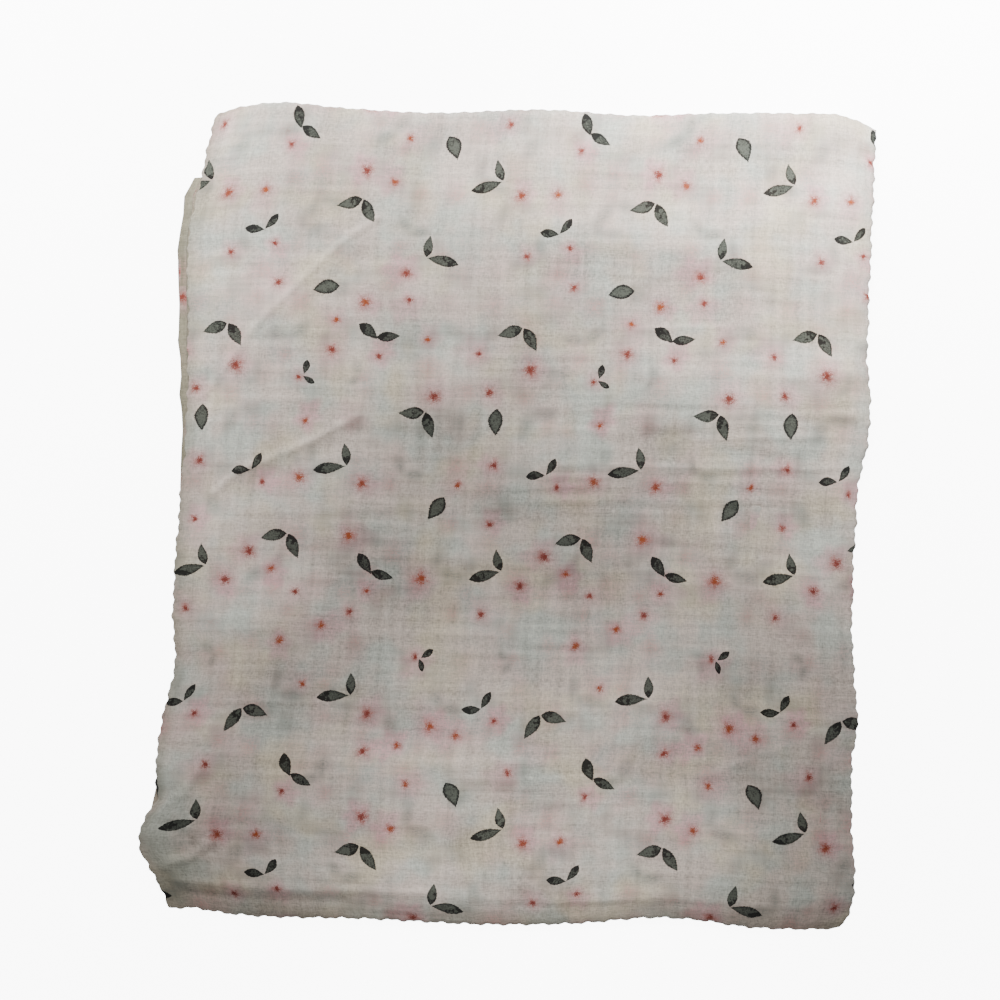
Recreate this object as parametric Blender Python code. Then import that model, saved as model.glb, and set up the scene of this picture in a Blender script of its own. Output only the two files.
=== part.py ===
"""Swaddle blanket, folded flat: one length of crinkled muslin, folded in three across its
width and then in three along its length, lying with its middle panel uppermost.

Frame: +Z up, +Y towards the upper edge of the middle panel, +X to its right, metres. The
origin is under the middle of the folded blanket, on the surface that it rests on.
"""

from collections import namedtuple

import bmesh
import bpy
import numpy as np

# Cloth
LAYER = 0.0010           # one layer of crinkled muslin
LAYER_GAP = 0.00035      # between the three layers of a bundle
BUNDLE_GAP = 0.0004      # between the three bundles of the stack
OPEN_WIDTH = 1.000       # opened out, across the folds made first
OPEN_LENGTH = 1.158      # opened out, across the folds made second

# Folded size, before its edges are made uneven
PANEL_WIDTH = 0.338
PANEL_LENGTH = 0.403
WIDTH_TUCK = 0.008       # from the right fold to the cut edge tucked inside it
LENGTH_TUCK = 0.012      # from the lower fold to the cut edge tucked inside it

# Worked out
BUNDLE = 3 * LAYER + 2 * LAYER_GAP
STACK = 3 * BUNDLE + 2 * BUNDLE_GAP

# Fineness
COLUMNS = (-0.150, -0.110, -0.065, -0.020, 0.025, 0.070, 0.115, 0.146)       # of points, left to right
ROWS = (-0.190, -0.1775, -0.171, -0.158, -0.143, -0.115, -0.075, -0.035, 0.010, 0.055, 0.105, 0.186)
LAYER_BENDS = 4          # round a fold of one layer
BUNDLE_BENDS = 6         # round a fold of a bundle

Edge = namedtuple("Edge", "along out")                    # place along an edge, and how far out it lies
Swell = namedtuple("Swell", "x y rise across down")       # a soft hump: centre, share of the height, half sizes
Slump = namedtuple("Slump", "fall reach")                 # share of the height lost at an edge, and how far in
Level = namedtuple("Level", "height left right")          # slip of the side edges at a share of the height

LEFT_EDGE = (
    Edge(-0.2020, -0.1690), Edge(-0.1965, -0.1704), Edge(-0.1892, -0.1726), Edge(-0.1837, -0.1746),
    Edge(-0.1797, -0.1776), Edge(-0.1747, -0.1788), Edge(-0.1715, -0.1820), Edge(-0.1658, -0.1826),
    Edge(-0.1593, -0.1820), Edge(-0.1509, -0.1778), Edge(-0.1432, -0.1732), Edge(-0.1345, -0.1742),
    Edge(-0.1200, -0.1732), Edge(-0.1000, -0.1702), Edge(-0.0800, -0.1650), Edge(-0.0500, -0.1655),
    Edge(0.000, -0.1625), Edge(0.045, -0.159), Edge(0.100, -0.1585), Edge(0.140, -0.158),
    Edge(0.167, -0.152), Edge(0.192, -0.1465), Edge(0.202, -0.144),
)
RIGHT_EDGE = (
    Edge(-0.202, 0.1655), Edge(-0.193, 0.1695), Edge(-0.150, 0.1705), Edge(-0.116, 0.1708),
    Edge(-0.098, 0.1733), Edge(-0.070, 0.1714), Edge(-0.045, 0.1708), Edge(-0.015, 0.1718),
    Edge(0.020, 0.1742), Edge(0.030, 0.1757), Edge(0.040, 0.1783), Edge(0.090, 0.1783),
    Edge(0.140, 0.1801), Edge(0.180, 0.1817), Edge(0.202, 0.1825),
)
LOWER_EDGE = (
    Edge(-0.172, -0.1965), Edge(-0.160, -0.1952), Edge(-0.140, -0.1978), Edge(-0.070, -0.2002),
    Edge(-0.005, -0.2031), Edge(0.036, -0.2024), Edge(0.076, -0.1996), Edge(0.095, -0.2008),
    Edge(0.118, -0.2042), Edge(0.145, -0.2054), Edge(0.168, -0.2050),
)
UPPER_EDGE = (
    Edge(-0.145, 0.2000), Edge(-0.132, 0.2033), Edge(-0.114, 0.2055), Edge(-0.084, 0.2030),
    Edge(-0.040, 0.2004), Edge(0.020, 0.2018), Edge(0.065, 0.1989), Edge(0.100, 0.1999),
    Edge(0.142, 0.1999), Edge(0.168, 0.1983), Edge(0.182, 0.1925),
)
FLAP_LEFT = (
    Edge(-0.202, 0.0), Edge(-0.020, 0.0), Edge(0.030, 0.0022), Edge(0.070, 0.0045),
    Edge(0.150, 0.0058), Edge(0.160, 0.0064), Edge(0.166, 0.0046),
)                        # how far the lowest flap shows past the left edge above it
LEVELS = (
    Level(0.00, 0.0, -0.0020), Level(0.30, 0.0, -0.0020), Level(0.38, 0.0020, -0.0035),
    Level(0.62, 0.0020, -0.0035), Level(0.72, 0.0, 0.0), Level(1.00, 0.0, 0.0),
)
SWELLS = (
    Swell(-0.165, -0.190, -0.34, 0.040, 0.030), Swell(0.120, -0.150, 0.10, 0.090, 0.050),
    Swell(-0.040, -0.140, 0.10, 0.080, 0.050), Swell(0.060, 0.010, -0.10, 0.110, 0.060),
    Swell(-0.110, 0.060, 0.09, 0.060, 0.080), Swell(0.110, 0.130, 0.08, 0.070, 0.060),
    Swell(-0.030, 0.165, -0.06, 0.080, 0.040), Swell(0.165, 0.020, -0.09, 0.035, 0.090),
    Swell(-0.150, 0.185, -0.08, 0.040, 0.030),
)
LOWER_SLUMP = Slump(0.34, 0.011)
UPPER_SLUMP = Slump(0.10, 0.006)
LEFT_SLUMP = Slump(0.16, 0.008)
RIGHT_SLUMP = Slump(0.10, 0.007)


def clear_scene():
    for thing in list(bpy.data.objects):
        bpy.data.objects.remove(thing, do_unlink=True)


def fold_in_three(panel, thick, gap, opened, tuck, stations, bends):
    """The outer face of a length folded in three, from the cut edge tucked inside to the one
    underneath, as rows of: place along the panel, depth under its top, and inward direction.
    All three panels have points at the same stations, so that they stay parallel."""
    near_radius = thick + gap / 2
    far_radius = (3 * thick + 2 * gap) / 2
    near = near_radius - panel / 2
    far = panel / 2 - far_radius
    tucked_end = far - tuck
    folds = np.pi * (near_radius + far_radius - thick)
    under_end = far - (opened - (tucked_end - near) - (far - near) - folds)
    shared = np.sort([*stations, tucked_end, under_end])
    angles = np.linspace(0, np.pi, bends + 1)[1:-1]

    def straight(start, end, depth, inward):
        inside = shared[(shared > min(start, end) + gap) & (shared < max(start, end) - gap)]
        inside = inside if end > start else inside[::-1]
        return [(place, depth, 0.0, inward) for place in (start, *inside, end)]

    def bend(centre, radius, side, turn):
        return [(centre + side * radius * np.sin(a), radius * (1 - np.cos(a)),
                 -side * np.sin(a), np.cos(a)) for a in turn]

    rows = straight(tucked_end, near, 2 * near_radius, -1.0)
    rows += bend(near, near_radius, -1, angles[::-1])
    rows += straight(near, far, 0.0, 1.0)
    rows += bend(far, far_radius, 1, angles)
    rows += straight(far, under_end, 2 * far_radius, -1.0)
    return np.array(rows)


def smooth_line(places, edge):
    """How far out an edge lies at the given places, on a smooth line through its rows."""
    at = np.array([row.along for row in edge])
    value = np.array([row.out for row in edge])
    slope = np.gradient(value, at)
    places = np.clip(places, at[0], at[-1])
    row = np.clip(np.searchsorted(at, places) - 1, 0, len(at) - 2)
    span = at[row + 1] - at[row]
    t = (places - at[row]) / span
    rest = 1 - t
    return (rest * rest * (1 + 2 * t) * value[row] + t * t * (1 + 2 * rest) * value[row + 1]
            + t * rest * span * (rest * slope[row] - t * slope[row + 1]))


def slump(inside, edge):
    """The share of the height lost at given distances inside an edge."""
    return edge.fall * np.exp(-(np.maximum(inside, 0) / edge.reach) ** 2)


def uneven(points):
    """Moves points of the trim stack so that its edges and height are those of soft cloth.
    Heights are only scaled, so the underside stays flat and no layer crosses another."""
    x, y, z = points.T
    heights = [level.height for level in LEVELS]
    in_lowest_bundle = 1 - np.clip((z - BUNDLE) / BUNDLE_GAP, 0, 1)
    left = smooth_line(y, LEFT_EDGE) - in_lowest_bundle * smooth_line(y, FLAP_LEFT)
    left += np.interp(z / STACK, heights, [level.left for level in LEVELS])
    right = smooth_line(y, RIGHT_EDGE)
    right += np.interp(z / STACK, heights, [level.right for level in LEVELS])
    new_x = left + (right - left) * (0.5 + x / PANEL_WIDTH)
    lower = smooth_line(new_x, LOWER_EDGE)
    upper = smooth_line(new_x, UPPER_EDGE)
    new_y = lower + (upper - lower) * (0.5 + y / PANEL_LENGTH)
    scale = np.ones_like(z)
    for swell in SWELLS:
        distance = ((new_x - swell.x) / swell.across) ** 2 + ((new_y - swell.y) / swell.down) ** 2
        scale += swell.rise * np.exp(-distance)
    scale -= slump(new_y - lower, LOWER_SLUMP) + slump(upper - new_y, UPPER_SLUMP)
    scale -= slump(new_x - left, LEFT_SLUMP) + slump(right - new_x, RIGHT_SLUMP)
    return np.stack([new_x, new_y, z * scale], axis=1)


def centred(points):
    """The points moved level, so that the middle of their outline is over the origin."""
    middle = (points.min(axis=0) + points.max(axis=0)) / 2
    return points - [middle[0], middle[1], 0.0]


def folded_cloth():
    """The cloth's points, as a grid: round its thickness one way, along its length the other."""
    across = fold_in_three(PANEL_WIDTH, LAYER, LAYER_GAP, OPEN_WIDTH, WIDTH_TUCK,
                           COLUMNS, LAYER_BENDS)
    downward = [-row for row in ROWS]
    along = fold_in_three(PANEL_LENGTH, BUNDLE, BUNDLE_GAP, OPEN_LENGTH, LENGTH_TUCK,
                          downward, BUNDLE_BENDS)
    face = across[:, :2]
    back = face + LAYER * across[:, 2:]
    section = np.concatenate([face, back[::-1]])
    rings = []
    for place, depth, inward_along, inward_down in along:
        y = -(place + section[:, 1] * inward_along)
        z = STACK - (depth + section[:, 1] * inward_down)
        rings.append(np.stack([section[:, 0], y, z], axis=1))
    return np.array(rings)


def split(corners, flat):
    """Two triangles for a four-cornered face, always split from its lower left to its upper
    right as seen from above, so that faces of neighbouring layers stay parallel."""
    a, b, c, d = corners
    width = flat[b][0] - flat[a][0] + flat[c][0] - flat[d][0]
    height = flat[d][1] - flat[a][1] + flat[c][1] - flat[b][1]
    if width * height < 0:
        return (b, c, d), (b, d, a)
    return (a, b, c), (a, c, d)


def make_blanket(material):
    grid = folded_cloth()
    ring_count, size = grid.shape[:2]
    flat = grid.reshape(-1, 3)
    shape = bmesh.new()
    points = [shape.verts.new(point) for point in centred(uneven(flat))]
    for ring in range(ring_count - 1):
        for i in range(size):
            after = (i + 1) % size
            start, end = ring * size, (ring + 1) * size
            for corners in split((start + i, start + after, end + after, end + i), flat):
                shape.faces.new([points[corner] for corner in corners])
    for start in (0, (ring_count - 1) * size):
        for i in range(size // 2 - 1):
            opposite = size - 1 - i
            corners = (start + i, start + i + 1, start + opposite - 1, start + opposite)
            for triangle in ((corners[0], corners[1], corners[2]), (corners[0], corners[2], corners[3])):
                shape.faces.new([points[corner] for corner in triangle])
    bmesh.ops.recalc_face_normals(shape, faces=shape.faces)
    mesh = bpy.data.meshes.new("blanket")
    shape.to_mesh(mesh)
    shape.free()
    mesh.shade_smooth()
    mesh.materials.append(material)
    blanket = bpy.data.objects.new("blanket", mesh)
    bpy.context.scene.collection.objects.link(blanket)
    return blanket


def muslin():
    material = bpy.data.materials.new("muslin")
    material.use_nodes = True
    shader = material.node_tree.nodes["Principled BSDF"]
    shader.inputs["Base Color"].default_value = (0.74, 0.66, 0.60, 1.0)
    shader.inputs["Roughness"].default_value = 0.9
    shader.inputs["Metallic"].default_value = 0.0
    return material


clear_scene()
make_blanket(muslin())
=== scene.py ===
import math
import bpy
import numpy as np
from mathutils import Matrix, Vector


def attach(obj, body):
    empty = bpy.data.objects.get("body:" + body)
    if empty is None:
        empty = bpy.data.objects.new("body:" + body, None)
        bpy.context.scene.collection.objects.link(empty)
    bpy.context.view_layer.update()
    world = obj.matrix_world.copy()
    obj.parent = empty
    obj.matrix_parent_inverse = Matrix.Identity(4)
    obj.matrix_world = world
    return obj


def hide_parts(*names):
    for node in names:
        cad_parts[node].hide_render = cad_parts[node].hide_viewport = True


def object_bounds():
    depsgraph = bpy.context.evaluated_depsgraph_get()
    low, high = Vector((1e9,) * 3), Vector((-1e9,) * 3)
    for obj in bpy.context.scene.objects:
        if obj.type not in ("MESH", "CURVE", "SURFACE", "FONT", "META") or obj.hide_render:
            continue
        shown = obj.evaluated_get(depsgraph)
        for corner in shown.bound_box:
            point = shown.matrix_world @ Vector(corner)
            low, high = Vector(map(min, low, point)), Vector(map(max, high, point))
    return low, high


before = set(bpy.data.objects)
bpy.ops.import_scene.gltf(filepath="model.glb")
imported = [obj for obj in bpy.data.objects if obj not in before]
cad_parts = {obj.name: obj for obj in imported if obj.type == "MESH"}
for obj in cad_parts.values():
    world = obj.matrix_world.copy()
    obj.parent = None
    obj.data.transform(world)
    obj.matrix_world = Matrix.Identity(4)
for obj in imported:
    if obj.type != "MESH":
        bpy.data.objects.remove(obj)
bpy.ops.object.select_all(action="DESELECT")
cadLow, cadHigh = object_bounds()
print("frame loaded:", [round(side, 4) for side in cadHigh - cadLow])


cloth = {
    "layer": 0.0010,          # space that one layer takes in the stack, metres
    "layerGap": 0.00035,      # between layers of one bundle
    "bundleGap": 0.0004,      # between bundles
    "openWidth": 1.000,       # opened out flat
    "openLength": 1.158,
    "panelWidth": 0.338,      # folded
    "panelLength": 0.403,
    "widthTuck": 0.008,       # cut edge to the fold it lies inside
    "lengthTuck": 0.012,
    "hemWidth": 0.006,        # turned and stitched edge
    "hemRise": 0.00045,       # how far the turned part stands off the cloth
    "fineAcross": 204,        # faces over the panel on top, left to right
    "fineAlong": 300,         # and bottom to top
    "hiddenAcross": 14,       # faces over a panel tucked out of sight
    "hiddenAlong": 14,
    "underAlong": 40,         # faces up the panel underneath
    "bendsAcross": (5, 6),    # steps round the left and right folds
    "bendsAlong": (8, 12),    # and round the lower and upper ones
}
bundle = 3 * cloth["layer"] + 2 * cloth["layerGap"]
stack = 3 * bundle + 2 * cloth["bundleGap"]

# the four edges seen from above: place along the edge, how far out it lies
leftEdge = [
    (-0.202, -0.1690), (-0.1965, -0.1704), (-0.1892, -0.1726), (-0.1837, -0.1746), (-0.1797, -0.1776),
    (-0.1747, -0.1788), (-0.1715, -0.1820), (-0.1658, -0.1826), (-0.1593, -0.1820), (-0.1509, -0.1778),
    (-0.1432, -0.1732), (-0.1345, -0.1742), (-0.1200, -0.1732), (-0.1000, -0.1702), (-0.080, -0.165),
    (-0.050, -0.1655), (0.000, -0.1625), (0.045, -0.1586), (0.100, -0.1578), (0.140, -0.1573),
    (0.167, -0.1516), (0.192, -0.1465), (0.202, -0.144),
]
rightEdge = [
    (-0.202, 0.1655), (-0.193, 0.1695), (-0.150, 0.1705), (-0.116, 0.1708), (-0.098, 0.1733),
    (-0.070, 0.1714), (-0.045, 0.1708), (-0.015, 0.1718), (0.020, 0.1742), (0.030, 0.1757),
    (0.040, 0.1783), (0.090, 0.1783), (0.140, 0.1801), (0.180, 0.1817), (0.202, 0.1825),
]
lowerEdge = [
    (-0.172, -0.1965), (-0.160, -0.1952), (-0.140, -0.1978), (-0.070, -0.2002), (-0.005, -0.2031),
    (0.036, -0.2024), (0.076, -0.1996), (0.095, -0.2008), (0.118, -0.2042), (0.145, -0.2054),
    (0.168, -0.2050),
]
upperEdge = [
    (-0.145, 0.2000), (-0.132, 0.2033), (-0.114, 0.2055), (-0.084, 0.2030), (-0.040, 0.2004),
    (0.020, 0.2018), (0.065, 0.1989), (0.100, 0.1999), (0.142, 0.1999), (0.168, 0.1983),
    (0.182, 0.1925),
]
# how far the lowest flap shows past the left edge
flapLeft = [
    (-0.202, 0.0), (-0.020, 0.0), (0.030, 0.0028), (0.070, 0.0053), (0.150, 0.0067), (0.160, 0.0072),
    (0.166, 0.0052),
]
# share of the height, slip of the left edge, slip of the right edge
levels = [
    (0.00, 0.0, -0.0020), (0.30, 0.0, -0.0020), (0.38, 0.0020, -0.0035), (0.62, 0.0020, -0.0035),
    (0.72, 0.0, 0.0), (1.00, 0.0, 0.0),
]
# soft humps of the whole stack: x, y, share of the height, half width, half length
swells = [
    (-0.165, -0.190, -0.34, 0.040, 0.030), (0.120, -0.150, 0.10, 0.090, 0.050),
    (-0.040, -0.140, 0.10, 0.080, 0.050), (0.060, 0.010, -0.10, 0.110, 0.060),
    (-0.110, 0.060, 0.09, 0.060, 0.080), (0.110, 0.130, 0.08, 0.070, 0.060),
    (-0.030, 0.165, -0.06, 0.080, 0.040), (0.165, 0.020, -0.09, 0.035, 0.090),
    (-0.150, 0.185, -0.08, 0.040, 0.030),
]
# how the height falls off towards an edge: share of it, over what distance
slumps = {"lower": (0.46, 0.014), "upper": (0.10, 0.006), "left": (0.16, 0.008), "right": (0.10, 0.007)}
# waves of the outline; a wave number is radians for each metre
outline = {
    "reach": 0.024,           # how far in an edge's own waves are felt
    "smoothing": 0.045,       # half the stretch over which an edge is levelled out further in
    "slip": 0.00022,          # uneven slip of the layers at the sides
    "frill": 0.0007,          # height of the small ragged waves
    "frillReach": 0.006,
    "frillFine": 820,
    "frillBroad": 310,
    "frillShift": 0.1,        # metres, so that facing edges differ
    "upperFrill": 0.6,        # share of the height along the upper edge
}


def smoothLine(places, table):
    at = np.array([row[0] for row in table])
    value = np.array([row[1] for row in table])
    slope = np.gradient(value, at)
    places = np.clip(places, at[0], at[-1])
    row = np.clip(np.searchsorted(at, places) - 1, 0, len(at) - 2)
    span = at[row + 1] - at[row]
    t = (places - at[row]) / span
    rest = 1 - t
    return (rest * rest * (1 + 2 * t) * value[row] + t * t * (1 + 2 * rest) * value[row + 1]
            + t * rest * span * (rest * slope[row] - t * slope[row + 1]))


def broadLine(places, table):
    # the same line without its small waves
    shifts = np.linspace(-outline["smoothing"], outline["smoothing"], 7)
    return np.mean([smoothLine(places + shift, table) for shift in shifts], axis=0)


def stretched(share, length, low, high, broadLow, broadHigh):
    # places between two edges; the small waves of an edge die out away from it
    place = broadLow + (broadHigh - broadLow) * share
    place = place + (low - broadLow) * np.exp(-share * length / outline["reach"])
    return place + (high - broadHigh) * np.exp(-(1 - share) * length / outline["reach"])


def frilled(places, inside):
    # small ragged waves along an edge, fading inwards
    wave = np.sin(places * outline["frillFine"]) * np.sin(places * outline["frillBroad"] + 2)
    return outline["frill"] * wave * np.exp(-np.maximum(inside, 0) / outline["frillReach"])


def softStep(low, high, value):
    t = np.clip((value - low) / (high - low), 0, 1)
    return t * t * (3 - 2 * t)


def foldInThree(panel, thick, gap, opened, tuck, faces, bends):
    # one section of the fold, from the cut edge tucked inside to the one underneath
    # rows: place, depth, direction of the inside (2), how far a hem stands off inwards
    nearRadius = thick + gap / 2
    farRadius = (3 * thick + 2 * gap) / 2
    near = nearRadius - panel / 2
    far = panel / 2 - farRadius
    tucked = far - tuck
    folds = math.pi * (nearRadius + farRadius - thick)
    under = far - (opened - (tucked - near) - (far - near) - folds)
    hem, rise = cloth["hemWidth"], cloth["hemRise"]
    turn = rise / 2

    def straight(start, end, count, depth, inward):
        return [(place, depth, 0.0, inward, 0.0) for place in np.linspace(start, end, count + 1)]

    def bend(centre, radius, side, count, backwards):
        angles = np.linspace(0, math.pi, count + 1)[1:-1]
        angles = angles[::-1] if backwards else angles
        return [(centre + side * radius * math.sin(a), radius * (1 - math.cos(a)),
                 -side * math.sin(a), math.cos(a), 0.0) for a in angles]

    def hemRows(edge, inwards, depth, inward):
        return [(edge + inwards * hem, depth, 0.0, inward, rise * 1.25),
                (edge + inwards * hem * 0.9, depth, 0.0, inward, rise),
                (edge + inwards * hem * 0.15, depth, 0.0, inward, rise),
                (edge - inwards * turn, depth, 0.0, inward, turn)]

    rows = hemRows(tucked, -1, 2 * nearRadius, -1.0)
    rows += straight(tucked, near, faces[0], 2 * nearRadius, -1.0)
    rows += bend(near, nearRadius, -1, bends[0], True)
    start = len(rows)
    rows += straight(near, far, faces[1], 0.0, 1.0)
    end = len(rows)
    rows += bend(far, farRadius, 1, bends[1], False)
    rows += straight(far, under, faces[2], 2 * farRadius, -1.0)
    rows += hemRows(under, 1, 2 * farRadius, -1.0)[::-1]
    rows = np.array(rows)
    steps = np.hypot(np.diff(rows[:, 0]), np.diff(rows[:, 1]))
    flat = np.concatenate([[0.0], np.cumsum(steps)])
    return rows, flat, (start, end)


def uneven(points):
    # the edges and height of soft cloth; heights are scaled, which keeps the layers in order
    x, y, z = points[..., 0], points[..., 1], points[..., 2]
    share = z / stack
    low = 1 - np.clip((z - bundle) / cloth["bundleGap"], 0, 1)    # 1 in the lowest bundle, 0 above it
    heights, slipsLeft, slipsRight = zip(*levels)
    ragged = outline["slip"] * (np.sin(y * 190 + 9 * share) + np.sin(y * 263 + 31 * share) * np.cos(y * 97))
    slipLeft = np.interp(share, heights, slipsLeft) - low * smoothLine(y, flapLeft) + ragged
    slipRight = np.interp(share, heights, slipsRight) + ragged
    left, right = smoothLine(y, leftEdge) + slipLeft, smoothLine(y, rightEdge) + slipRight
    newX = stretched(0.5 + x / cloth["panelWidth"], cloth["panelWidth"], left, right,
                     broadLine(y, leftEdge) + slipLeft, broadLine(y, rightEdge) + slipRight)
    shift = outline["frillShift"]
    newX = newX + frilled(y, newX - left) + frilled(y + shift, right - newX)
    lower, upper = smoothLine(newX, lowerEdge), smoothLine(newX, upperEdge)
    newY = stretched(0.5 + y / cloth["panelLength"], cloth["panelLength"], lower, upper,
                     broadLine(newX, lowerEdge), broadLine(newX, upperEdge))
    newY = newY + frilled(newX, newY - lower)
    newY = newY + outline["upperFrill"] * frilled(newX + shift, upper - newY)
    scale = np.ones_like(z)
    for atX, atY, rise, halfX, halfY in swells:
        scale += rise * np.exp(-((newX - atX) / halfX) ** 2 - ((newY - atY) / halfY) ** 2)
    inward = {"lower": newY - lower, "upper": upper - newY, "left": newX - left, "right": right - newX}
    for side, inside in inward.items():
        fall, reach = slumps[side]
        scale -= fall * np.exp(-(np.maximum(inside, 0) / reach) ** 2)
    return np.stack([newX, newY, z * scale], axis=-1)


def sheetGrid():
    across, flatAcross, topAcross = foldInThree(
        cloth["panelWidth"], cloth["layer"], cloth["layerGap"], cloth["openWidth"], cloth["widthTuck"],
        (cloth["hiddenAcross"], cloth["fineAcross"], cloth["hiddenAcross"]), cloth["bendsAcross"])
    along, flatAlong, topAlong = foldInThree(
        cloth["panelLength"], bundle, cloth["bundleGap"], cloth["openLength"], cloth["lengthTuck"],
        (cloth["hiddenAlong"], cloth["fineAlong"], cloth["underAlong"]), cloth["bendsAlong"])
    rows = []
    for place, depth, inwardAlong, inwardDown, hemOffset in along:
        offset = across[:, 4] + hemOffset
        x = across[:, 0] + offset * across[:, 2]
        w = across[:, 1] + offset * across[:, 3]
        rows.append(np.stack([x, -(place + w * inwardAlong), stack - (depth + w * inwardDown)], axis=1))
    # the cloth's own places run left to right and bottom to top over the panel on top
    return np.array(rows), flatAcross, -flatAlong, topAcross, topAlong


# main creases of the top panel: points, height, half width
creases = [
    ([(-0.063, 0.148), (-0.081, 0.136), (-0.097, 0.121), (-0.127, 0.091), (-0.147, 0.062), (-0.158, 0.054)],
     0.00120, 0.0018),
    ([(-0.055, 0.141), (-0.078, 0.126), (-0.094, 0.110), (-0.118, 0.088)], -0.00070, 0.0042),
    ([(-0.073, 0.050), (-0.100, 0.036), (-0.134, 0.022), (-0.145, 0.012)], 0.00110, 0.0018),
    ([(-0.070, 0.044), (-0.098, 0.030), (-0.128, 0.016)], -0.00060, 0.0040),
    ([(-0.145, 0.012), (-0.155, -0.006), (-0.160, -0.030)], 0.00040, 0.0026),
    ([(-0.060, 0.1245), (-0.020, 0.1230), (0.006, 0.1235)], 0.00034, 0.0018),
    ([(-0.004, -0.0645), (0.040, -0.0655), (0.066, -0.0640)], -0.00045, 0.0016),
    ([(0.166, 0.034), (0.174, 0.021)], 0.00060, 0.0016),
    ([(0.1640, 0.035), (0.1650, -0.022)], 0.00034, 0.0016),
    ([(0.1680, -0.120), (0.1670, -0.146)], 0.00034, 0.0016),
    ([(-0.166, -0.1800), (-0.120, -0.1835), (-0.070, -0.1840), (-0.040, -0.1850)], 0.00080, 0.0022),
    ([(-0.160, -0.1860), (-0.130, -0.1885), (-0.080, -0.1895)], -0.00080, 0.0022),
    ([(-0.172, -0.1720), (-0.158, -0.1690), (-0.146, -0.1600)], 0.00125, 0.0024),
    ([(-0.174, -0.1500), (-0.163, -0.1530), (-0.155, -0.1620)], -0.00110, 0.0028),
    ([(-0.168, -0.1420), (-0.158, -0.1350), (-0.152, -0.1240)], 0.00100, 0.0026),
    ([(0.030, 0.0940), (0.080, 0.0930), (0.120, 0.0945)], 0.00030, 0.0018),
    ([(0.050, 0.0540), (0.110, 0.0525), (0.172, 0.0535)], -0.00050, 0.0018),
    ([(0.020, 0.0270), (0.100, 0.0235), (0.172, 0.0245)], 0.00055, 0.0017),
    ([(0.020, 0.0225), (0.080, 0.0200), (0.160, 0.0205)], -0.00035, 0.0017),
    ([(0.030, 0.0050), (0.090, 0.0030), (0.165, 0.0060)], -0.00040, 0.0018),
    ([(0.055, 0.0720), (0.110, 0.0710), (0.172, 0.0700)], 0.00038, 0.0020),
    ([(0.045, 0.0400), (0.100, 0.0385), (0.160, 0.0400)], 0.00034, 0.0016),
    ([(-0.010, 0.0160), (0.030, 0.0140), (0.060, 0.0145)], 0.00032, 0.0016),
    ([(0.000, -0.0130), (0.050, -0.0160), (0.110, -0.0150)], -0.00034, 0.0018),
    ([(0.035, -0.0260), (0.062, -0.0290), (0.090, -0.0330), (0.125, -0.0350)], 0.00050, 0.0024),
    ([(-0.080, -0.0560), (-0.020, -0.0580), (0.030, -0.0555)], 0.00030, 0.0018),
    ([(0.096, -0.1280), (0.118, -0.1200), (0.140, -0.1130)], 0.00040, 0.0022),
    ([(0.020, -0.1900), (0.080, -0.1880), (0.150, -0.1930)], 0.00040, 0.0022),
    ([(-0.030, -0.1910), (0.030, -0.1935), (0.090, -0.1925)], -0.00036, 0.0018),
]
# fine crinkle of the gauze: how many of each kind, and ranges of half width, half length and lean
crinkle = {
    "seed": 11,
    "across": (-0.17, 0.175),            # where they may lie
    "along": (-0.2, 0.2),
    "ripples": 950,                      # short ridges across the cloth
    "rippleHeight": 0.00034,
    "rippleHalf": ((0.006, 0.026), (0.0012, 0.0024)),
    "rippleLean": (-0.04, 0.04),
    "calm": 0.40,                        # strength of the ripples away from the crumpled part
    "crumple": 0.9,                      # what that part adds, and its place and half sizes
    "crumpleAt": (0.09, 0.035, 0.08, 0.07),
    "ribs": 560,                         # and along it
    "ribHeight": 0.00024,
    "ribHalf": ((0.0017, 0.0028), (0.008, 0.035)),
    "waves": 90,                         # broad soft unevenness
    "waveHeight": 0.00115,
    "waveHalf": ((0.012, 0.035), (0.008, 0.020)),
    "fade": 0.012,                       # metres from the outline over which the relief fades out
    # fullCrest: how high a ridge must be for full painted light, and how deep a trough for full painted
    # shade
    "fullCrest": 0.0008,                 # height that counts as a full ridge in the cloth's tone
}


def distanceToLine(x, y, line):
    best = np.full(x.shape, 1.0)
    for (x0, y0), (x1, y1) in zip(line, line[1:]):
        dx, dy = x1 - x0, y1 - y0
        t = np.clip(((x - x0) * dx + (y - y0) * dy) / (dx * dx + dy * dy), 0, 1)
        best = np.minimum(best, np.hypot(x - x0 - t * dx, y - y0 - t * dy))
    return best


def addHump(field, xs, ys, atX, atY, halfX, halfY, height, lean=0.0):
    # a soft hump, added only where it reaches
    reachX = 2.6 * halfX
    reachY = 2.6 * halfY + abs(lean) * reachX
    i0, i1 = np.searchsorted(xs, [atX - reachX, atX + reachX])
    j0, j1 = np.searchsorted(ys, [atY - reachY, atY + reachY])
    dx = (xs[i0:i1] - atX)[None, :]
    dy = (ys[j0:j1] - atY)[:, None] - lean * dx
    field[j0:j1, i0:i1] += height * np.exp(-(dx / halfX) ** 2 - (dy / halfY) ** 2)


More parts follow.
